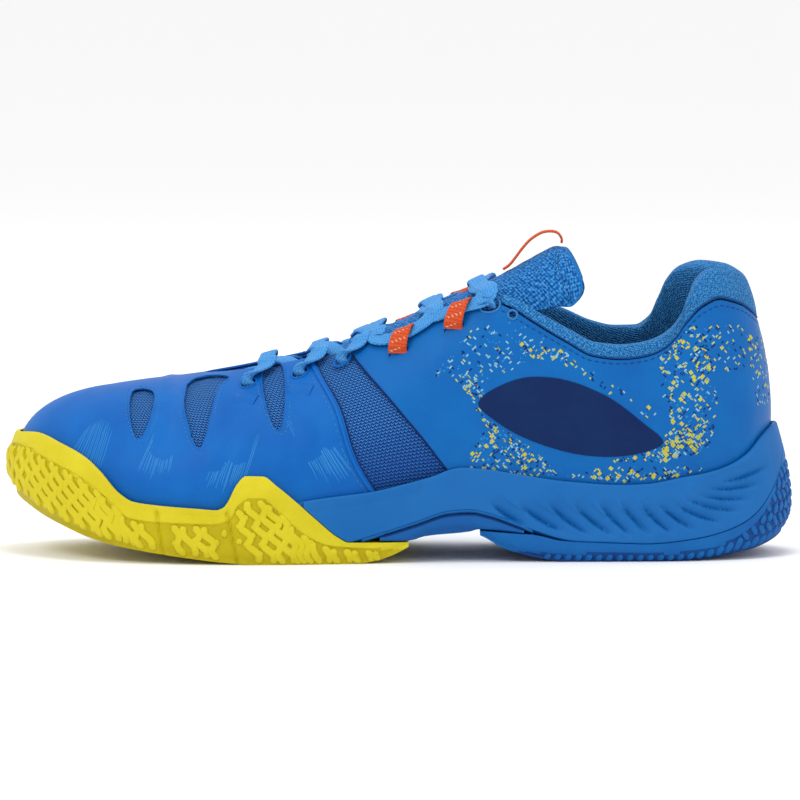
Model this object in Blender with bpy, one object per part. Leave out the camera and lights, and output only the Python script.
"""Court shoe for the left foot, at its real size, as an assembly of separate pieces.

Frame: the origin is on the ground under the middle of the shoe, +X runs from toe to heel, +Y to the
medial (inner) side and +Z up. Lengths in this file are in millimetres until a mesh is made.

The upper is one curved wall. A place on it is (v, w): v runs once round the shoe, 0 at the middle of
the heel, to 1 at the toe along the lateral side and to -1 at the toe along the medial side, and w runs
from 0 at the feather edge, where upper meets sole, to 1 at the collar, the throat or the vamp's ridge.
Every layer of the upper is that wall at its own depth.
"""

import math

import bmesh
import bpy
import numpy as np
from mathutils import Vector, geometry, kdtree

for thing in list(bpy.data.objects):
    bpy.data.objects.remove(thing)
cutters = bpy.data.collections.new("cutters")
bpy.context.scene.collection.children.link(cutters)

MM = 0.001
GAP = 0.35  # left between pieces that touch on the real shoe

LENGTH = 300.0
HEEL_X, TOE_X = LENGTH / 2, -LENGTH / 2

# ---------------------------------------------------------------- shape functions


def smooth(points):
    """A function through the given (x, value) points that never overshoots them."""
    xs, ys = np.array(points, float).T
    step, slope = np.diff(xs), np.diff(ys) / np.diff(xs)
    rate = np.zeros(len(xs))
    rate[0], rate[-1] = slope[0], slope[-1]
    for i in range(1, len(xs) - 1):
        if slope[i - 1] * slope[i] > 0:
            a, b = 2 * step[i] + step[i - 1], step[i] + 2 * step[i - 1]
            rate[i] = (a + b) / (a / slope[i - 1] + b / slope[i])

    def value(x):
        x = np.clip(x, xs[0], xs[-1])
        i = np.clip(np.searchsorted(xs, x) - 1, 0, len(step) - 1)
        t = (x - xs[i]) / step[i]
        start = (1 + 2 * t) * (1 - t) ** 2 * ys[i] + t * (1 - t) ** 2 * step[i] * rate[i]
        return start + t * t * (3 - 2 * t) * ys[i + 1] + t * t * (t - 1) * step[i] * rate[i + 1]

    return value


def rounded(points, closed=False, pieces=16):
    """Points along a smooth curve through the given points (centripetal Catmull-Rom)."""
    p = np.array(points, float)
    if closed:
        p = np.vstack([p[-1], p, p[0], p[1]])
    else:
        p = np.vstack([2 * p[0] - p[1], p, 2 * p[-1] - p[-2]])
    knots = np.concatenate([[0], np.cumsum(np.linalg.norm(np.diff(p, axis=0), axis=1) ** 0.5)])
    made = []
    for i in range(1, len(p) - 2):
        t0, t1, t2, t3 = knots[i - 1 : i + 3]
        for t in np.linspace(t1, t2, pieces, endpoint=False):
            a1 = ((t1 - t) * p[i - 1] + (t - t0) * p[i]) / (t1 - t0)
            a2 = ((t2 - t) * p[i] + (t - t1) * p[i + 1]) / (t2 - t1)
            a3 = ((t3 - t) * p[i + 1] + (t - t2) * p[i + 2]) / (t3 - t2)
            b1 = ((t2 - t) * a1 + (t - t0) * a2) / (t2 - t0)
            b2 = ((t3 - t) * a2 + (t - t1) * a3) / (t3 - t1)
            made.append(((t2 - t) * b1 + (t - t1) * b2) / (t2 - t1))
    if not closed:
        made.append(p[-2])
    return np.array(made)


def even(points, count):
    """The same curve as `count` points at equal distances."""
    along = np.concatenate([[0], np.cumsum(np.linalg.norm(np.diff(points, axis=0), axis=1))])
    at = np.linspace(0, along[-1], count)
    return np.stack([np.interp(at, along, points[:, k]) for k in range(points.shape[1])], axis=1)


# ---------------------------------------------------------------- the sole's driving shapes

# The sole's widest outline from above, heel to toe: x, y.
OUTLINE_LATERAL = [(150, 0), (146.5, -15), (136, -28), (112, -38.5), (70, -41.5), (25, -42.5),
                   (-15, -48.5), (-50, -53), (-85, -50.5), (-113, -40), (-133, -23.5), (-146.5, -4), (-150, 12)]
OUTLINE_MEDIAL = [(150, 0), (146.5, 15), (136, 27), (112, 36.5), (70, 36.5), (30, 36.5),
                  (-10, 43.5), (-45, 51), (-75, 53), (-104, 49.5), (-128, 41), (-144, 28), (-150, 12)]

# Heights against x, toe to heel.
ground_line = smooth([(-150, 27), (-146, 22), (-140, 18.2), (-134, 15), (-126, 11.8), (-118, 8.9), (-107, 6.3),
                      (-95, 4.4), (-80, 2.4), (-66, 0.8), (-54, 0), (-16, 0), (-9, 0.9), (-3, 2.8), (6, 7.4),
                      (11, 10), (27, 11.4), (32, 9.6), (39, 5.6), (48, 2.6), (60, 0.4), (68, 0), (106, 0),
                      (118, 0.8), (128, 2.4), (136, 4), (143, 6.6), (147, 9.2), (150, 13)])
midsole_floor = smooth([(-150, 33), (-140, 22.8), (-130, 17), (-115, 11.6), (-100, 8.8), (-80, 6.4), (-60, 4.6),
                        (-30, 5), (-20, 6.6), (-8, 9.8), (6, 14), (20, 18.2), (27, 18.6), (34, 17.2),
                        (44, 13.6), (54, 9.8), (64, 7), (85, 5), (106, 5), (120, 6.4), (133, 9.5), (142, 14), (150, 25)])
bed_line = smooth([(-150, 30), (-135, 25.6), (-120, 21.4), (-100, 17.8), (-75, 15.8), (-40, 16), (0, 21.5),
                   (40, 24.5), (80, 25.6), (115, 26.4), (150, 27)])

# Top edge of the rubber (forefoot cup, and heel cup) and of the midsole's side wall, on each side.
rubber_top_lateral = smooth([(-150, 45.5), (-144, 46.4), (-132, 43.2), (-121.5, 39), (-114, 33.8), (-106, 26.2),
                             (-101, 23.4), (-92, 22.3), (-75, 21.2), (-69, 20.8), (-66, 21.8), (-64.3, 24),
                             (-61, 30.4), (-57.5, 33.6), (-51, 33.5), (-45.6, 29.8), (-38.5, 23.9), (-30, 16.3),
                             (-23, 10.4), (-18.7, 8.3), (8, 7.9)])
rubber_top_medial = smooth([(-150, 45.5), (-144, 46.4), (-132, 44.5), (-120, 40.5), (-108, 34), (-98, 26.5),
                            (-90, 23), (-78, 21.8), (-68, 22.6), (-62, 25.5), (-54, 27.8), (-46, 26),
                            (-38, 21), (-30, 15), (-23, 10.4), (-18.7, 8.3), (8, 7.9)])
heel_rubber_top = smooth([(30, 12), (40, 11.2), (52, 10.3), (62, 8.2), (85, 7.1), (94, 6.8), (112, 8.4), (121, 10.2),
                          (130, 13.4), (136, 17.4), (142, 24.4), (147, 33), (150, 42)])
midsole_top_lateral = smooth([(-150, 32), (-125, 26), (-100, 20.5), (-70, 19.5), (-45, 20.5), (-38, 23.4),
                              (-25, 25.4), (-10, 27.2), (3, 30.1), (14, 33.1), (19.4, 35.2), (24, 36), (32.5, 35.4),
                              (46, 33.3), (62, 30.8), (85, 29.2), (94, 29.5), (107, 31.7), (120, 33.9),
                              (128, 36.4), (135, 40.2), (141, 45), (150, 50)])
midsole_top_medial = smooth([(-150, 32), (-125, 26), (-100, 20.5), (-70, 19.5), (-45, 20.5), (-38, 23.4),
                             (-25, 26.4), (-10, 29.5), (3, 33), (14, 36), (26, 38.4), (40, 37), (56, 33.4),
                             (70, 30.8), (85, 29.4), (94, 29.5), (107, 31.7), (120, 33.9), (128, 36.4),
                             (135, 40.2), (141, 45), (150, 50)])
feather_inset = smooth([(-150, 9.5), (-140, 9), (-120, 7.6), (-90, 6.6), (0, 6.4), (60, 6.4), (110, 7.4), (135, 10),
                        (146, 13), (150, 13.6)])

# ---------------------------------------------------------------- the upper's driving shapes

ridge_y = smooth([(-150, 8), (-112, 5), (-75, 2.5), (-20, 0.6), (20, 0), (150, 0)])
# The upper's top edge against |v|: x, half width, height. The two sides differ only along the collar.
COLLAR_LATERAL = [(0.0, 130, 0, 102.5), (0.035, 129, 8, 104), (0.075, 124.6, 15.5, 107.2), (0.11, 118.8, 20.5, 108.2),
                  (0.14, 113.4, 24, 104.4), (0.165, 109.4, 26, 97.6), (0.185, 106.4, 27.2, 91), (0.21, 101.5, 28.4, 85.6),
                  (0.24, 94, 29.6, 82.2), (0.275, 84.5, 30.8, 81), (0.31, 74.5, 31.6, 82), (0.345, 64.5, 31.4, 87),
                  (0.385, 52, 29.4, 93.8), (0.41, 44, 27, 98)]
COLLAR_MEDIAL = [(0.0, 130, 0, 102.5), (0.035, 129, 8, 104), (0.075, 123.6, 15.5, 107.4), (0.11, 115.6, 20.5, 108.4),
                 (0.14, 108.4, 24.4, 106.4), (0.165, 103, 26.4, 101), (0.185, 99.6, 27.4, 94), (0.21, 96.4, 28.4, 87.6),
                 (0.24, 90.5, 29.6, 83.8), (0.275, 82.5, 30.8, 83.6), (0.31, 74, 31.6, 85.4), (0.345, 64.5, 31.2, 89.6),
                 (0.385, 52, 29, 95), (0.41, 44, 27, 98.4)]
THROAT = [(0.425, 38, 25, 99.6), (0.45, 30, 23, 97.6), (0.49, 16, 20.4, 91.4), (0.54, -2, 18, 84),
          (0.59, -21, 16.2, 77.2), (0.64, -40, 14.4, 72.4), (0.675, -54, 11.4, 69.6), (0.705, -64, 7.4, 67.8),
          (0.73, -70.5, 3.6, 66.8), (0.75, -73.5, 0, 66.4), (0.78, -82, 0, 65.2), (0.83, -94, 0, 63.8),
          (0.88, -103, 0, 62.5), (0.94, -109, 0, 61.5), (1.0, -111, 0, 61.2)]
V_COLLAR_END = 0.425
V_THROAT_END = 0.75
# How the wall leaves the feather edge (outwards, upwards) and reaches the top edge (lean from upright in
# degrees, and pull), as shares of its height, against |v|.
leave_out = smooth([(0, 0.10), (0.3, 0.09), (0.5, 0.08), (0.75, 0.10), (0.88, 0.14), (1, 0.20)])
leave_up = smooth([(0, 0.36), (0.3, 0.34), (0.5, 0.30), (0.75, 0.32), (1, 0.40)])
top_lean = smooth([(0, 20), (0.12, 14), (0.22, 8), (0.32, 12), (0.4, 34), (0.45, 50), (0.55, 58), (0.68, 72),
                   (0.75, 88), (1, 90)])
top_pull = smooth([(0, 0.30), (0.3, 0.26), (0.45, 0.26), (0.6, 0.28), (0.75, 0.32), (0.88, 0.40), (1, 0.50)])
# How far below the top edge the overlays and the knit stop, where the padded collar rolls over.
seam_drop = smooth([(0, 14.5), (0.07, 12), (0.115, 10), (0.16, 7.5), (0.2, 5.5), (0.3, 4.6), (0.4, 3.4), (0.43, 3)])

V_CELLS, W_CELLS = 1600, 100


class Wall:
    """The upper's wall as a fine table, from which points at any (v, w) and depth are read."""

    def __init__(self):
        halves = [self.half(side) for side in (1, -1)]
        lateral, medial = halves
        self.points = np.concatenate([medial[::-1], lateral[1:]])
        along_v = np.gradient(self.points, axis=0)
        along_w = np.gradient(self.points, axis=1)
        normal = np.cross(along_w, along_v)
        # The table is cut at the toe, and its heel is in the middle. Both ends are the same line.
        normal[0] = normal[-1] = normal[0] + normal[-1]
        # Both halves share their normals along the ridge.
        middle = V_CELLS // 2
        for i in range(int(np.ceil(V_THROAT_END * middle)), middle + 1):
            both = normal[middle + i, -1] + normal[middle - i, -1]
            normal[middle + i, -1] = normal[middle - i, -1] = both
        self.normals = normal / np.maximum(np.linalg.norm(normal, axis=2, keepdims=True), 1e-9)
        self.height = np.linalg.norm(np.diff(self.points, axis=1), axis=2).sum(axis=1)

    @staticmethod
    def half(side):
        """Points of the lateral (side 1) or medial (-1) half, heel to toe."""
        outline = sole_outline(side, V_CELLS // 2 + 1)
        v = np.linspace(0, 1, len(outline))
        out = outward(outline, side)
        foot = np.column_stack([outline - out[:, :2] * feather_inset(outline[:, 0])[:, None], np.zeros(len(v))])
        foot[:, 2] = bed_line(foot[:, 0]) + 0.9
        knots = np.array((COLLAR_LATERAL if side > 0 else COLLAR_MEDIAL) + THROAT, float)
        x, wide, z = (smooth(knots[:, [0, k]])(v) for k in range(1, 4))
        top = np.column_stack([x, ridge_y(x) - side * wide, z])
        span = top - foot
        size = np.linalg.norm(span, axis=1)[:, None]
        inward = span.copy()
        inward[:, 2] = 0
        inward /= np.maximum(np.linalg.norm(inward, axis=1)[:, None], 1e-9)
        lean = np.radians(top_lean(v))[:, None]
        up = np.array([0, 0, 1.0])
        arrive = inward * np.sin(lean) + up * np.cos(lean)
        # On the ridge the wall arrives along the ridge's own slope, so that both halves meet smoothly.
        slope = np.where(v >= V_THROAT_END - 0.03, np.gradient(z) / np.minimum(np.gradient(x), -1e-3), 0)
        slope = np.clip(slope, -0.2, 0.2)
        arrive[:, 2] += arrive[:, 0] * slope * (v >= V_THROAT_END - 0.03)
        first = foot + size * (out * leave_out(v)[:, None] + up * leave_up(v)[:, None])
        second = top - size * arrive * top_pull(v)[:, None]
        t = np.linspace(0, 1, 4 * W_CELLS + 1)[None, :, None]
        fine = (
            (1 - t) ** 3 * foot[:, None]
            + 3 * (1 - t) ** 2 * t * first[:, None]
            + 3 * (1 - t) * t * t * second[:, None]
            + t**3 * top[:, None]
        )
        return np.array([even(line, W_CELLS + 1) for line in fine])

    def at(self, v, w, depth=0.0):
        """Points at v (any number, taken round the shoe), w from 0 to 1, and depth outwards from the wall."""
        v = np.asarray(v, float)
        turned = (v + 1) % 2
        turned = np.where((turned == 0) & (v > 0), 2.0, turned)
        a = np.clip(turned / 2 * V_CELLS, 0, V_CELLS)
        b = np.clip(np.asarray(w, float), 0, 1) * W_CELLS
        i, j = np.minimum(a.astype(int), V_CELLS - 1), np.minimum(b.astype(int), W_CELLS - 1)
        f, g = (a - i)[..., None], (b - j)[..., None]

        def read(table):
            low = table[i, j] * (1 - f) + table[i + 1, j] * f
            high = table[i, j + 1] * (1 - f) + table[i + 1, j + 1] * f
            return low * (1 - g) + high * g

        normal = read(self.normals)
        normal /= np.maximum(np.linalg.norm(normal, axis=-1, keepdims=True), 1e-9)
        return read(self.points) + normal * np.asarray(depth, float)[..., None]

    def find(self, a, b, side, axes=(0, 2)):
        """The (v, w) whose point has these two coordinates (x and z unless axes says otherwise)."""
        middle = V_CELLS // 2
        rows = np.arange(middle, V_CELLS + 1) if side > 0 else np.arange(0, middle + 1)
        table = self.points[rows][:, :, list(axes)]
        i, j = np.unravel_index(((table - (a, b)) ** 2).sum(axis=2).argmin(), table.shape[:2])
        v, w = rows[i] / V_CELLS * 2 - 1, j / W_CELLS
        for _ in range(4):
            here = self.at(v, w)[list(axes)]
            dv = (self.at(min(v + 1e-3, 1), w)[list(axes)] - self.at(max(v - 1e-3, -1), w)[list(axes)]) / 2e-3
            dw = (self.at(v, min(w + 5e-3, 1))[list(axes)] - self.at(v, max(w - 5e-3, 0))[list(axes)]) / 1e-2
            jacobian = np.column_stack([dv, dw])
            if abs(np.linalg.det(jacobian)) < 1e-3:
                break
            move = np.linalg.solve(jacobian, np.array([a, b]) - here)
            v, w = float(np.clip(v + np.clip(move[0], -0.01, 0.01), -1, 1)), float(np.clip(w + move[1], 0, 1))
        return v, w

    def seam(self, v):
        """w of the line where the padded collar takes over from the knit and the quarter."""
        v = np.asarray(v, float)
        height = np.interp(v, np.linspace(-1, 1, V_CELLS + 1), self.height)
        return np.where(np.abs(v) <= V_COLLAR_END + 0.005, 1 - seam_drop(np.abs(v)) / height, 1.0)


def sole_outline(side, count):
    """The widest outline's lateral (side 1) or medial (-1) half as `count` even points, heel to toe."""
    loop = rounded(OUTLINE_LATERAL + OUTLINE_MEDIAL[-2:0:-1], closed=True)
    toe = 16 * (len(OUTLINE_LATERAL) - 1)
    half = loop[: toe + 1] if side > 0 else np.vstack([loop[toe:], loop[:1]])[::-1]
    return even(half, count)


def outward(line, side):
    """Unit vectors pointing out of the shoe, in plan, along a half outline that runs heel to toe."""
    along = np.gradient(line, axis=0)
    out = np.column_stack([-along[:, 1], along[:, 0], np.zeros(len(line))]) * side
    # Both halves leave the middle of the heel and of the toe straight along x.
    out[0], out[-1] = (1, 0, 0), (-1, 0, 0)
    return out / np.linalg.norm(out, axis=1)[:, None]




wall = Wall()

# ---------------------------------------------------------------- meshes

COLOURS = {
    "upper_overlay": (0.004, 0.155, 0.533, 0.42), "upper_knit": (0.007, 0.093, 0.342, 0.85),
    "quarter_film": (0.002, 0.133, 0.497, 0.40), "navy_film": (0.007, 0.062, 0.205, 0.45),
    "midsole_foam": (0.025, 0.162, 0.491, 0.62), "shank_plastic": (0.010, 0.138, 0.423, 0.35),
    "heel_rubber": (0.010, 0.138, 0.423, 0.55), "forefoot_rubber": (0.645, 0.540, 0.036, 0.60),
    "collar_mesh": (0.032, 0.219, 0.571, 0.85), "tongue_mesh": (0.019, 0.184, 0.546, 0.85),
    "lining_cloth": (0.002, 0.065, 0.254, 0.90), "lace_cloth": (0.019, 0.178, 0.539, 0.80),
    "orange_webbing": (0.753, 0.102, 0.032, 0.75), "board_fibre": (0.55, 0.52, 0.45, 0.90),
    "insole_foam": (0.010, 0.080, 0.290, 0.90), "stiffener_plastic": (0.50, 0.50, 0.48, 0.60),
    "thread": (0.02, 0.15, 0.45, 0.70),
}


def material(name):
    found = bpy.data.materials.get(name)
    if not found:
        red, green, blue, rough = COLOURS[name]
        found = bpy.data.materials.new(name)
        found.use_nodes = True
        shader = found.node_tree.nodes["Principled BSDF"]
        shader.inputs["Base Color"].default_value = (red, green, blue, 1)
        shader.inputs["Roughness"].default_value = rough
    return found


def without_inner_walls(points, faces):
    """Leaves out every face that lies on another one: the walls between halves that grow together."""
    middles = [points[list(face)].mean(axis=0) for face in faces]
    tree = kdtree.KDTree(len(faces))
    for i, middle in enumerate(middles):
        tree.insert(middle, i)
    tree.balance()
    return [face for face, middle in zip(faces, middles) if len(tree.find_range(middle, 0.03)) == 1]


def make(name, points, faces, look):
    """A closed mesh object from points in millimetres: seams joined and inner walls taken out."""
    points = np.asarray(points, float).reshape(-1, 3)
    work = bmesh.new()
    placed = [work.verts.new(Vector(p)) for p in points]
    for face in without_inner_walls(points, faces):
        work.faces.new([placed[i] for i in face])
    bmesh.ops.remove_doubles(work, verts=work.verts, dist=0.03)
    bmesh.ops.dissolve_degenerate(work, edges=work.edges, dist=0.01)
    loose = [v for v in work.verts if not v.link_faces]
    bmesh.ops.delete(work, geom=loose, context="VERTS")
    bmesh.ops.triangulate(work, faces=work.faces)
    bmesh.ops.recalc_face_normals(work, faces=work.faces)
    if work.calc_volume(signed=True) < 0:
        bmesh.ops.reverse_faces(work, faces=work.faces)
    bmesh.ops.scale(work, vec=(MM, MM, MM), verts=work.verts)
    mesh = bpy.data.meshes.new(name)
    work.to_mesh(mesh)
    work.free()
    mesh.materials.append(material(look))
    made = bpy.data.objects.new(name, mesh)
    bpy.context.scene.collection.objects.link(made)
    return made


def loft(name, rings, look, capped=True):
    """A solid whose skin runs through rings of the same number of points."""
    rings = np.array(rings)
    rows, count = rings.shape[:2]
    faces = []
    for i in range(rows - 1):
        for j in range(count):
            k = (j + 1) % count
            faces.append((i * count + j, i * count + k, (i + 1) * count + k, (i + 1) * count + j))
    for i, face in ((0, tuple(range(count))), (rows - 1, tuple(range((rows - 1) * count, rows * count))[::-1])):
        # A section at the very tip of the toe or heel is a line, and needs no end face.
        if capped and np.ptp(rings[i][:, 1]) > 0.1:
            faces.append(face)
    return make(name, rings.reshape(-1, 3), faces, look)


# ---------------------------------------------------------------- sole unit

RUBBER = 2.0  # side wall of both rubber cups
CUP_CLEAR = 3.0  # from the wall to the inside of the cups: knit, overlay and a gap


class SoleSide:
    """The sole's outer side at one place of the outline: how far out it stands at each height."""

    def __init__(self, v, side):
        line, place = OUTLINES[side], np.linspace(0, 1, V_CELLS // 2 + 1)
        out = outward(line, side)
        self.v, self.side = v * side, side
        self.point, self.out = (np.array([np.interp(v, place, t[:, k]) for k in (0, 1)]) for t in (line, out))
        self.x = self.point[0]
        self.front = self.x < 8
        rubber = (rubber_top_lateral if side > 0 else rubber_top_medial) if self.front else heel_rubber_top
        self.rubber_top = float(rubber(self.x))
        self.foam_top = float((midsole_top_lateral if side > 0 else midsole_top_medial)(self.x))
        self.floor, self.ground = float(midsole_floor(self.x)), float(ground_line(self.x))
        row = wall.at(np.full(61, self.v), np.linspace(0, 0.6, 61), np.full(61, 0.0))
        self.wall_z = np.maximum.accumulate(row[:, 2])
        self.wall_d = (row[:, :2] - self.point) @ self.out
        self.bed = float(bed_line(self.x + self.out[0] * (self.wall_d[0] + CUP_CLEAR)))
        self.top = max(self.foam_top, self.rubber_top)
        self.rim = self.cup(self.top) + 1.5
        self.closed = False

    def cup(self, z):
        """Offset of the inside of the cups at this height."""
        return float(np.interp(z, self.wall_z, self.wall_d)) + CUP_CLEAR

    def shows_foam(self):
        return self.rubber_top < self.foam_top - 2

    def outer(self, z):
        low = self.ground + 9
        share = np.clip((z - low) / max(self.top - low, 1), 0, 1)
        edge = 3.2 * (1 - np.clip((z - self.ground) / 4.5, 0, 1)) ** 2
        return max(float(self.rim * share**1.5 - edge), self.cup(z) + (2.3 if self.front else 1.3))

    def at(self, offset, z):
        x, y = self.point + self.out * offset
        return (x, y, z)


OUTLINES = {side: sole_outline(side, V_CELLS // 2 + 1) for side in (1, -1)}


def v_at(x, side=1):
    """|v| where the outline passes this x, on the lateral (side 1) or medial (-1) side."""
    line = OUTLINES[side]
    return float(np.interp(-x, -line[:, 0], np.linspace(0, 1, len(line))))


def cross_sections():
    """The lateral v of every section of the sole, shared by its pieces so that they fit each other."""
    cuts = [0] + [v_at(x) for x in (47.5, 31, 4, -7, -18, -70, -143)] + [1]
    made = []
    for a, b, count in zip(cuts, cuts[1:], (20, 3, 4, 2, 2, 10, 14, 3)):
        made += list(np.linspace(a, b, count, endpoint=False))
    return made + [1.0]


SECTIONS = cross_sections()


def sections(x_from, x_to):
    """The shared sections between two places along the shoe, the first nearer the heel."""
    a = 0 if x_from >= HEEL_X else v_at(x_from) - 1e-4
    b = 1 if x_to <= TOE_X else v_at(x_to) + 1e-4
    return [v for v in SECTIONS if a <= v <= b]


def across(a, b, height, count=2):
    """Points between the two edges of a section, at the heights this line gives."""
    share = np.linspace(0, 1, count + 2)[1:-1, None]
    points = np.array(a) * (1 - share) + np.array(b) * share
    points[:, 2] = height(points[:, 0])
    return [tuple(p) for p in points]


def both_sides(v):
    lateral = SoleSide(v, 1)
    return lateral, SoleSide(v_at(lateral.x, -1), -1)


def ring(v, profile, low, high, closed=(False, False)):
    """One cross-section: the profile of both sides, joined by the low and the high line."""
    sides = both_sides(v)
    for side, shut in zip(sides, closed):
        side.closed = shut
    lateral, medial = (profile(side) for side in sides)
    return across(medial[0], lateral[0], low) + lateral + across(lateral[-1], medial[-1], high) + medial[::-1]


def rubber_floor(x):
    top = np.where(x < 20, 8.0, heel_rubber_top(x))
    gap_floor = midsole_floor(x) - GAP
    return np.where((x > -18) & (x < 50), np.minimum(gap_floor, top), gap_floor)


def rubber_profile(s):
    floor = float(rubber_floor(s.x))
    top = max(s.rubber_top, floor + 0.02)
    cup = top > floor + 0.1
    points = [s.at(s.outer(s.ground), float(ground_line(s.x + s.out[0] * s.outer(s.ground))))]
    points += [s.at(s.outer(s.ground + h * min(1, (top - s.ground) / 7)), s.ground + h * min(1, (top - s.ground) / 7))
               for h in (1.3, 4.5)]
    rise = top - points[-1][2]
    points += [s.at(s.outer(z), z) for z in (points[-1][2] + rise * f for f in (0.4, 0.75))]
    points.append(s.at(s.outer(top) - 0.3, top))

    def inner(z):
        return max(s.outer(z) - RUBBER, s.cup(z) + 0.9)

    if cup:
        points.append(s.at(inner(top), top - 0.1))
        points += [s.at(inner(z), z) for z in (floor + (top - floor) * f for f in (0.66, 0.33, 0))]
    else:
        points += [s.at(s.outer(top) - f, top + 0.001 * f) for f in (1.2, 1.8, 2.4, 3.0)]
    return points


def foam_profile(s):
    covered = s.floor < s.rubber_top - (0.1 if s.front else -0.5)
    cover = s.rubber_top if covered else s.floor
    top, step = s.foam_top, RUBBER + 2 * GAP
    open_side = s.shows_foam()
    low = s.floor + 1.0

    def hidden(z):
        return max(s.outer(z) - step, s.cup(z) + 0.5) if z > s.bed else s.outer(z) - step

    under = step if covered else 0.0
    points = [s.at(s.outer(low) - under - 1.2, float(midsole_floor(s.x)))]
    if open_side:
        edge = max(cover + 2 * GAP, low + 0.4)
        points.append(s.at(s.outer(low) - under, low))
        points.append(s.at(s.outer(edge) - under, edge - 0.05))
        heights = [edge + (top - 0.8 - edge) * f for f in (0, 0.33, 0.66, 1)]
        points += [s.at(hidden(z) if s.closed else s.outer(z), z) for z in heights]
        points.append(s.at((hidden(top) if s.closed else s.outer(top)) - 0.5, top))
    else:
        heights = [low + (top - low) * f for f in (0, 0.18, 0.36, 0.54, 0.72, 0.88)]
        points += [s.at(hidden(z), z) for z in heights]
        points.append(s.at(hidden(top) - 0.1, top))
    edge_out = hidden(top) if s.closed or not open_side else s.outer(top)
    points.append(s.at(min(s.cup(top), edge_out - 0.9), top - 0.05))
    points += [s.at(s.cup(z), z) for z in (s.bed + (top - s.bed) * f for f in (0.5, 0.0))]
    return points


def shank_low(x):
    return SHANK_LOW(x)


SHANK_LOW = smooth([(-17, 8.75), (4, 8.5), (11, 10), (27, 11.5), (31, 12.5), (48, 10.9)])


def shank_profile(s):
    low, high = float(shank_low(s.x)), s.floor - GAP
    middle = (low + high) / 2
    return [s.at(s.outer(low) - 0.8, low), s.at(s.outer(middle) - 0.1, middle), s.at(s.outer(high) - 0.5, high)]


def sole_unit():
    front = [ring(v, rubber_profile, ground_line, rubber_floor) for v in sections(4, TOE_X)]
    loft("outsole_forefoot", front, "forefoot_rubber")
    back = [ring(v, rubber_profile, ground_line, rubber_floor) for v in sections(HEEL_X, 31)]
    loft("outsole_heel", back, "heel_rubber")
    foam, places = [], sections(HEEL_X, -143)
    for v, after in zip(places, places[1:] + [places[-1]]):
        hides = [a.shows_foam() and not b.shows_foam() for a, b in zip(both_sides(v), both_sides(after))]
        if any(hides):
            # Here the rubber climbs past the foam: the foam steps back behind it.
            foam.append(ring(v - 16e-4, foam_profile, midsole_floor, bed_line))
            foam.append(ring(v - 15e-4, foam_profile, midsole_floor, bed_line, hides))
        foam.append(ring(v, foam_profile, midsole_floor, bed_line, hides))
    loft("midsole", foam, "midsole_foam")
    bridge = [ring(v, shank_profile, shank_low, lambda x: midsole_floor(x) - GAP) for v in sections(47.5, -7)]
    loft("midfoot_shank", bridge, "shank_plastic")



# ---------------------------------------------------------------- upper: shells and cut patches

KNIT = (0.0, 1.0)
OVERLAY = (1.65, 2.4)
PATCH = (2.8, 3.3)


def wall_rings(places, w_low, w_high, depths, rows, spread=lambda f: f):
    """Closed sections of a shell of the wall, one at each v."""
    inner, outer = depths
    rings = []
    for v in places:
        low, high = float(w_low(v)), float(w_high(v))
        w = low + (high - low) * spread(np.linspace(0, 1, rows))
        spot = np.full(rows, v)
        rings.append(np.vstack([wall.at(spot, w, np.full(rows, outer)), wall.at(spot, w, np.full(rows, inner))[::-1]]))
    return rings


def knit_bootie():
    """The knitted inner upper, a closed sock from the feather edge to the collar seam, throat and ridge."""
    places = [-1.0] + [v for v in UPPER_PLACES]
    top = lambda v: wall.seam(v) - (0.8 / 80 if abs(v) < V_THROAT_END else 0)
    return loft("upper_knit", wall_rings(places, lambda v: 0.0, top, KNIT, 8), "upper_knit", capped=False)


def half_places():
    knots = (0, V_COLLAR_END - 0.003, V_COLLAR_END + 0.003, V_THROAT_END, 1.0)
    made = []
    for a, b, count in zip(knots, knots[1:], (17, 1, 11, 9)):
        made += list(np.linspace(a, b, count, endpoint=False))
    return made + [1.0]


HALF = half_places()
UPPER_PLACES = [-v for v in HALF[-2:0:-1]] + HALF


# Cut edges of the lateral side, as x and z; the medial side is cut alike.
VAMP_REAR = [(-5, 22), (-9.8, 28.5), (-14, 35), (-17.5, 42.7), (-22.1, 57.5), (-28.3, 67.6), (-32, 74)]
QUARTER_FRONT = [(27, 25), (22, 30.5), (17.5, 36.4), (8.7, 47.7), (2.9, 54.4), (-4, 62.3), (-12.5, 71.2), (-17.5, 76.8)]
WINDOWS = [
    [(-100.6, 60.4), (-102, 55.6), (-99, 44.7), (-96.5, 45.1), (-92.4, 60)],
    [(-80.5, 62.6), (-75.7, 41.7), (-73.8, 42.5), (-67.4, 62.6), (-63.5, 66)],
    [(-51, 69.6), (-46.6, 49), (-44.2, 49), (-43.6, 70.8)],
]
FLAT = np.array([330.0, 75.0])  # makes (v, w) roughly millimetres


def traced(points, side):
    return [wall.find(x, z, side) for x, z in points]


def spaced(line, step=7.0):
    """A (v, w) polyline with points added so that none are further apart than this."""
    made = [line[0]]
    for a, b in zip(line, line[1:]):
        far = np.linalg.norm((np.array(b) - a) * FLAT)
        count = max(1, int(np.ceil(far / step)))
        made += [tuple(np.array(a) + (np.array(b) - a) * k / count) for k in range(1, count + 1)]
    return made


def inside(point, loop):
    x, y = point
    hit = False
    for (x0, y0), (x1, y1) in zip(loop, loop[1:] + loop[:1]):
        if (y0 > y) != (y1 > y) and x < (x1 - x0) * (y - y0) / (y1 - y0) + x0:
            hit = not hit
    return hit


def away(point, loop):
    """Distance from a point to a loop."""
    a = np.array(loop)
    b = np.roll(a, -1, axis=0)
    t = np.clip(((point - a) * (b - a)).sum(1) / np.maximum(((b - a) ** 2).sum(1), 1e-9), 0, 1)
    return np.linalg.norm(a + (b - a) * t[:, None] - point, axis=1).min()


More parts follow.
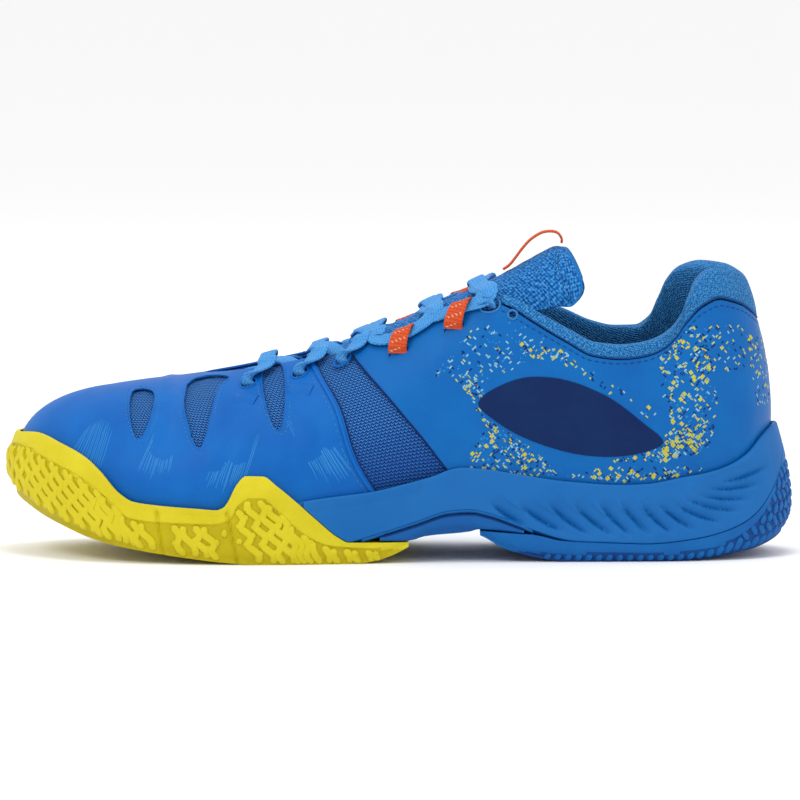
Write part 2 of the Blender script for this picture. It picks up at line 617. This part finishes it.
def cut_sheet(loops, depths, step=9.0):
    """Points and faces of a sheet of the wall cut to the first loop, with the others as holes in it."""
    loops = [[tuple(np.array(p) * FLAT) for p in loop] for loop in loops]
    points, edges = [], []
    for loop in loops:
        start = len(points)
        points += loop
        edges += [(start + i, start + (i + 1) % len(loop)) for i in range(len(loop))]
    low, high = np.min(loops[0], axis=0), np.max(loops[0], axis=0)
    for row, v in enumerate(np.arange(low[1] + step / 2, high[1], step)):
        for u in np.arange(low[0] + step * (0.3 + 0.5 * (row % 2)), high[0], step):
            spot = (u, v)
            if inside(spot, loops[0]) and not any(inside(spot, h) for h in loops[1:]):
                if min(away(np.array(spot), loop) for loop in loops) > step * 0.45:
                    points.append(spot)
    flat, _, triangles, *_ = geometry.delaunay_2d_cdt([Vector(p) for p in points], edges, [], 0, 1e-6)
    kept = []
    for triangle in triangles:
        middle = sum((flat[i] for i in triangle), Vector((0, 0))) / 3
        if inside(middle, loops[0]) and not any(inside(middle, h) for h in loops[1:]):
            kept.append(tuple(triangle))
    place = np.array([tuple(p) for p in flat]) / FLAT
    lifted = [wall.at(place[:, 0], place[:, 1], np.full(len(place), d)) for d in depths]
    count = len(place)
    used = {}
    for a, b, c in kept:
        for edge in ((a, b), (b, c), (c, a)):
            used[edge] = True
    faces = [(c, b, a) for a, b, c in kept] + [(a + count, b + count, c + count) for a, b, c in kept]
    faces += [(a, b, b + count, a + count) for a, b in used if (b, a) not in used]
    return np.vstack(lifted), faces


def cut_piece(name, sheets, look):
    points, faces = [], []
    for part_points, part_faces in sheets:
        start = sum(len(p) for p in points)
        points.append(part_points)
        faces += [tuple(i + start for i in face) for face in part_faces]
    return make(name, np.vstack(points), faces, look)


def vamp_overlay():
    ridge = spaced([(V_THROAT_END, 1.0), (1.0, 1.0), (1.0, 0.03)], 8)
    sheets = []
    for side in (1, -1):
        rear = [(abs(v), w) for v, w in traced(VAMP_REAR, side)]
        rear[0] = (rear[0][0], 0.03)
        throat = [(v, 0.985) for v in np.linspace(rear[-1][0] + 0.004, V_THROAT_END - 0.012, 7)]
        rear[-1] = (rear[-1][0], 0.96)
        feather = spaced([(1.0, 0.03), (rear[0][0], 0.03)], 9)[1:-1]
        outline = spaced(rear, 8) + throat + ridge + feather
        holes = [spaced([(abs(v), w) for v, w in traced(window, side)], 8) for window in WINDOWS]
        sheets.append(cut_sheet([[(side * v, w) for v, w in loop] for loop in [outline] + holes], OVERLAY))
    return cut_piece("vamp_overlay", sheets, "upper_overlay")


def quarter(name, side):
    front = [(abs(v), w) for v, w in traced(QUARTER_FRONT, side)]
    front[0] = (front[0][0], 0.03)
    front[-1] = (front[-1][0], 0.965)
    throat = [(v, 0.985) for v in np.linspace(front[-1][0] - 0.004, V_COLLAR_END + 0.012, 6)]
    seam = [(v, float(wall.seam(v * side)) - 0.010) for v in np.linspace(V_COLLAR_END, 0.0015, 20)]
    heel = spaced([seam[-1], (0.0015, 0.03)], 9)[1:]
    feather = spaced([(0.0015, 0.03), front[0]], 9)[1:-1]
    outline = spaced(front, 8) + throat + seam + heel + feather
    return cut_piece(name, [cut_sheet([[(side * v, w) for v, w in outline]], OVERLAY, 9)], "quarter_film")


# ---------------------------------------------------------------- padded collar


def collar():
    """The padded roll round the ankle opening, hooked over the top edge of the wall."""
    section = [(0.98, 2.4), (0.4, 3.1), (-0.45, 2.7), (-1.0, 0.6), (-1.0, -3.2), (-0.55, -5.6), (0.3, -6.6),
               (1.6, -6.2), (2.6, -3.4), (2.75, -2.0), (2.2, -0.95), (0.96, -0.95)]
    ends = V_COLLAR_END - 0.004
    rings = []
    for v in np.linspace(-ends, ends, 65):
        drop = float(seam_drop(abs(v)))
        height = float(np.interp(v, np.linspace(-1, 1, V_CELLS + 1), wall.height))
        thick = float(collar_thickness(abs(v)))
        ring_points = []
        for down, depth in section:
            down = down * drop if down <= 1 else drop + (down - 1) * collar_reach(abs(v))
            inward = depth * thick if depth < -0.6 else depth
            edge = 1 - down / height
            base = wall.at(v, min(edge, 1.0), inward)
            if edge > 1:
                rise = wall.at(v, 1.0, 0.0) - wall.at(v, 1 - 2 / height, 0.0)
                base = base + rise / np.linalg.norm(rise) * (edge - 1) * height * 0.16
            ring_points.append(base)
        rings.append(ring_points)
    loft("collar_padding", rings, "collar_mesh")


collar_thickness = smooth([(0, 0.85), (0.1, 1.0), (0.2, 1.0), (0.3, 0.8), (0.4, 0.55), (0.43, 0.45)])
collar_reach = smooth([(0, 14), (0.15, 13), (0.25, 10), (0.35, 8), (0.43, 6)])


# ---------------------------------------------------------------- tongue

# The crest line of the tongue's top face as x and z, and its half width and sag against x.
TONGUE_LINE = rounded([(-66, 64.6), (-56, 67.2), (-40, 72.2), (-21, 79.4), (0, 88.2), (16, 95.6), (30, 101.6),
                       (42, 107.6), (52, 113.2), (59.5, 116.8), (63.5, 116.6)], pieces=12)
tongue_half = smooth([(-66, 9), (-56, 12), (-40, 14.5), (-20, 16), (0, 18.5), (20, 20), (30, 21), (45, 22), (58, 22.5), (63.5, 19)])
tongue_sag = smooth([(-66, 0.016), (-20, 0.017), (0, 0.018), (20, 0.021), (32, 0.025), (45, 0.034), (63.5, 0.044)])
tongue_thick = smooth([(-66, 1.6), (-50, 2.4), (0, 3.2), (30, 4.0), (55, 5.4), (61, 4.2), (63.5, 2.6)])
FOLD_X = 36.5


def tongue_frame(x):
    """Crest point, direction and normal of the tongue at this x."""
    line = TONGUE_LINE
    z = np.interp(x, line[:, 0], line[:, 1])
    slope = (np.interp(x + 1, line[:, 0], line[:, 1]) - np.interp(x - 1, line[:, 0], line[:, 1])) / 2
    along = np.array([1, 0, slope]) / math.hypot(1, slope)
    return np.array([x, 0, z]), along, np.array([-along[2], 0, along[0]])


def tongue_at(x, y, lift=0.0):
    """A point over the tongue: y across it, lift above its top face."""
    crest, _, normal = tongue_frame(x)
    sag = float(tongue_sag(x))
    slope = 2 * sag * y
    up = (normal + np.array([0, slope, 0])) / math.hypot(1, slope)
    return crest - normal * sag * y * y + np.array([0, y, 0]) + up * lift


def tongue_rings(places):
    rings = []
    for x in places:
        half, thick = float(tongue_half(x)), float(tongue_thick(x))
        across_top = [(q * half, -thick * 0.42 * abs(q) ** 5) for q in (-1, -0.8, -0.5, -0.2, 0.2, 0.5, 0.8, 1)]
        across_low = [(q * half, -thick * (1 - 0.3 * abs(q) ** 5)) for q in (0.97, 0.75, 0.4, 0, -0.4, -0.75, -0.97)]
        rings.append([tongue_at(x, y, lift) for y, lift in across_top + across_low])
    return rings


def tongue():
    loft("tongue_lower", tongue_rings(np.linspace(-62, FOLD_X - 0.3, 13)), "tongue_mesh")
    loft("tongue_upper", tongue_rings(list(np.linspace(FOLD_X + 0.3, 58, 7)) + [61, 63.3]), "tongue_mesh")


def strip(name, centres, ups, width, thick, look, widths=None):
    """A flat band through these centres, lying square to the up directions."""
    centres, ups = np.array(centres), np.array(ups)
    along = np.gradient(centres, axis=0)
    rings = []
    for i, (c, a, u) in enumerate(zip(centres, along, ups)):
        a = a / np.linalg.norm(a)
        u = u - a * (u @ a)
        u /= np.linalg.norm(u)
        w = np.cross(u, a) * (widths[i] if widths is not None else width) / 2
        h = u * thick / 2
        rings.append([c - w - h, c + w - h, c + w + h, c - w + h])
    return loft(name, rings, look)


def pull_loop():
    """A webbing loop sewn to the tongue at both ends and standing clear of it between them."""
    lifts = [(40.5, 1.35), (43, 1.7), (46, 3.0), (50, 5.0), (54, 6.4), (58, 6.5), (60.5, 5.2), (61.8, 3.0), (62, 1.35)]
    centres = [tongue_at(x, 0, lift) for x, lift in lifts]
    centres = rounded(centres, pieces=3)
    ups = [np.cross(t, (0, 1, 0)) * -1 for t in np.gradient(centres, axis=0)]
    widths = np.interp(np.arange(len(centres)), [0, 4, len(centres) - 5, len(centres) - 1], [4.0, 6.0, 6.0, 4.0])
    return strip("tongue_pull_loop", centres, ups, 0, 0.8, "orange_webbing", widths)


# ---------------------------------------------------------------- inside the upper


def flat_sheet(name, depth, low, high, ends, look, count=26):
    """A flat insole-like piece filling the foot of the wall inside this depth, from low to high over the bed."""
    heel, toe = ends
    rings = []
    for v in np.linspace(heel, toe, count):
        sides = []
        for side in (1, -1):
            x = wall.at(v, 0.02, 0.0)[0]
            spot = v if side > 0 else foot_v(x)
            sides.append([wall.at(side * spot, 0.02 + 0.02 * k, depth - 0.4 * (1 - k)) for k in (0, 1)])
        lateral, medial = sides
        rows = []
        for k, lift in ((0, low), (1, high)):
            a, b = lateral[k].copy(), medial[k].copy()
            share = np.linspace(0, 1, 4)[:, None]
            line = a * (1 - share) + b * share
            line[:, 2] = bed_line(line[:, 0]) + lift
            rows.append(line if k == 0 else line[::-1])
        rings.append(np.vstack(rows))
    return loft(name, rings, look)


def foot_v(x):
    """|v| on the medial side where the foot of the wall passes this x."""
    v = np.linspace(0, 1, 400)
    line = wall.at(-v, np.full(400, 0.02), np.zeros(400))
    return float(np.interp(-x, -line[:, 0], v))


def stiffener(name, v_end, top, depths, look, at_toe=False):
    """A thin moulded shell inside the knit, round the heel or over the toes."""
    places = np.linspace(-v_end, v_end, 21)
    if at_toe:
        places = np.concatenate([np.linspace(v_end, 1, 12), np.linspace(-1, -v_end, 12)[1:]])
    rings = wall_rings(places, lambda v: 0.09, top, depths, 6)
    return loft(name, rings, look)


def heel_counter_top(v):
    return 0.44 - 0.2 * (abs(v) / 0.24) ** 2


def toe_puff_top(v):
    return 0.30 + 0.32 * ((abs(v) - 0.86) / 0.14) ** 0.8


# ---------------------------------------------------------------- lace, loops and trim

# Lace holes and loops, front to back: x and z of the hole's middle on the lateral side.
HOLES = [(-56.4, 64.4), (-36.8, 68.6), (-20.6, 73.4)]
LOOPS = [(1.7, 82.2), (23.3, 92.6)]
TOP_HOLE, SPARE_HOLE = (34.9, 95.6), (43.4, 92.4)
HOLE_RADIUS = 3.0


def place_of(spot, side):
    v, w = wall.find(*spot, 1)
    return side * v, w


def drill(target, spots, radius=HOLE_RADIUS):
    """Lace holes square through the wall."""
    for v, w in spots:
        a, b = wall.at(v, w, -3.0), wall.at(v, w, 6.0)
        bpy.ops.mesh.primitive_cylinder_add(vertices=10, radius=radius * MM, depth=9 * MM)
        cutter = bpy.context.object
        cutter.name = f"hole_cutter_{len(cutters.objects)}"
        cutter.location = Vector((a + b) / 2 * MM)
        cutter.rotation_mode = "QUATERNION"
        cutter.rotation_quaternion = Vector(b - a).to_track_quat("Z", "Y")
        cutter.hide_render = True
        cutter.display_type = "WIRE"
        for collection in list(cutter.users_collection):
            collection.objects.unlink(cutter)
        cutters.objects.link(cutter)
        cut = target.modifiers.new("hole", "BOOLEAN")
        cut.operation, cut.solver, cut.object = "DIFFERENCE", "EXACT", cutter


def lace_points():
    """The lace's middle line, its up directions and widths, from one tucked end to the other."""
    made = []

    def add(point, up, width=5.0):
        made.append((point, up, width))

    def wall_up(v, w):
        up = wall.at(v, w, 1.0) - wall.at(v, w, 0.0)
        return up / np.linalg.norm(up)

    def tongue_up(x, y):
        return tongue_at(x, y, 1.0) - tongue_at(x, y, 0.0)

    def hole(spot, side, outward_bound):
        v, w = place_of(spot, side)
        steps = [(-1.7, 3.0), (0.6, 2.8), (3.5, 2.8)]
        across_way = wall.at(v, min(w + 0.04, 1), 0) - wall.at(v, w, 0)
        across_way /= np.linalg.norm(across_way)
        for depth, width in steps if outward_bound else steps[::-1]:
            add(wall.at(v, w, depth) + across_way * (0.5 if depth > 1 else 0.0), across_way, width)

    def over_edge(spot, side, shift):
        """Over the throat's edge, this far (in v) behind the hole or loop."""
        v, _ = place_of(spot, side)
        v -= side * shift
        for w, depth in ((0.96, 3.8), (1.0, 4.5))[:: 1 if shift > 0 else -1]:
            add(wall.at(v, w, depth), wall_up(v, 0.985))

    def through(spot, side):
        v, w = place_of(spot, side)
        over_edge(spot, side, -0.030)
        for shift in (-0.012, 0.0, 0.012):
            add(wall.at(v - side * shift, w, 3.75), wall_up(v, w), 3.4)
        over_edge(spot, side, 0.030)

    def cross(x0, side0, x1, over, spread=17):
        lift = 2.7 if over else 1.15
        for share, side in ((0.25, side0 * 0.5), (0.5, 0.0), (0.75, -side0 * 0.5)):
            x, y = x0 + (x1 - x0) * share, -side * spread
            high = lift if share == 0.5 else 1.9 + (lift - 1.15) * 0.4
            add(tongue_at(x, y, high), tongue_up(x, y))

    def half(side):
        """From the bar between the front holes to the tucked end."""
        x = [spot[0] for spot in HOLES + LOOPS + [TOP_HOLE]]
        hole(HOLES[0], side, True)
        over_edge(HOLES[0], side, 0.012)
        for i in (1, 2):
            here = side * (-1) ** i
            cross(x[i - 1] + 3, -here, x[i] - 3, over=here > 0, spread=8 + 3 * i)
            add(tongue_at(x[i] - 3, -here * 12, 0.95), tongue_up(x[i] - 3, -here * 12), 4.2)
            hole(HOLES[i], here, True)
            over_edge(HOLES[i], here, 0.012)
        cross(x[2] + 3, side, x[3] - 8, over=-side > 0)
        through(LOOPS[0], -side)
        cross(x[3] + 8, -side, x[4] - 8, over=side > 0)
        through(LOOPS[1], side)
        cross(x[4] + 6, side, x[5] - 3, over=-side > 0)
        over_edge(TOP_HOLE, -side, -0.008)
        hole(TOP_HOLE, -side, False)
        v, w = place_of(TOP_HOLE, -side)
        for drop in (9, 18, 27):
            add(wall.at(v, w - drop / 78, -4.2 - drop / 20), wall_up(v, w - drop / 78), 4.4)

    half(1)
    first = list(made)
    made.clear()
    half(-1)
    x0 = HOLES[0][0]
    bar = [(tongue_at(x0, -y, 0.8), tongue_up(x0, -y), 4.4) for y in (-9, 0, 9)]
    return first[::-1] + bar[::-1] + made


def lace():
    line = rounded([np.concatenate([point, up, [width]]) for point, up, width in lace_points()], pieces=3)
    return strip("lace", line[:, :3], line[:, 3:6], 0, 0.9, "lace_cloth", line[:, 6])


def webbing_loop(name, spot, side):
    v, w = place_of(spot, side)
    height = 78.0
    path = [(-6.4, 2.95), (-5.6, 3.5), (-4.5, 5.6), (0, 6.3), (4.4, 6.1), (5.6, 4.9)]
    middle = rounded([wall.at(v, w + rise / height, depth) for rise, depth in path], pieces=2)
    up = wall.at(v, w, 1) - wall.at(v, w, 0)
    return strip(name, middle, [up] * len(middle), 7.6, 0.7, "orange_webbing")


def side_patch(name, outline, side):
    loop = [(side * abs(v), w) for v, w in traced(outline, 1)]
    return cut_piece(name, [cut_sheet([spaced(loop, 6)], PATCH, 9)], "navy_film")


PATCH_OUTLINE = [(30, 60), (44, 68.5), (60, 69), (78, 62.5), (92, 52.5), (100, 45), (88, 40.5), (70, 40.5), (50, 46),
                 (37, 53)]


def build():
    sole_unit()
    knit = knit_bootie()
    vamp = vamp_overlay()
    quarters = {side: quarter(name, side) for name, side in (("quarter_lateral", 1), ("quarter_medial", -1))}
    collar()
    tongue()
    pull_loop()
    flat_sheet("strobel_board", -1.5, 0.5, 1.8, (0.004, 0.992), "board_fibre")
    flat_sheet("sockliner", -2.6, 2.3, 6.2, (0.012, 0.985), "insole_foam")
    stiffener("heel_counter", 0.23, heel_counter_top, (-1.5, -0.5), "stiffener_plastic")
    stiffener("toe_puff", 0.86, toe_puff_top, (-1.9, -1.0), "stiffener_plastic", at_toe=True)
    for side, word in ((1, "lateral"), (-1, "medial")):
        drill(knit, [place_of(spot, side) for spot in HOLES + [TOP_HOLE, SPARE_HOLE]])
        drill(vamp, [place_of(spot, side) for spot in HOLES[:2]])
        drill(quarters[side], [place_of(spot, side) for spot in (TOP_HOLE, SPARE_HOLE)])
        for i, spot in enumerate(LOOPS):
            webbing_loop(f"lace_loop_{word}_{i + 1}", spot, side)
        side_patch(f"side_patch_{word}", PATCH_OUTLINE, side)
    lace()


build()
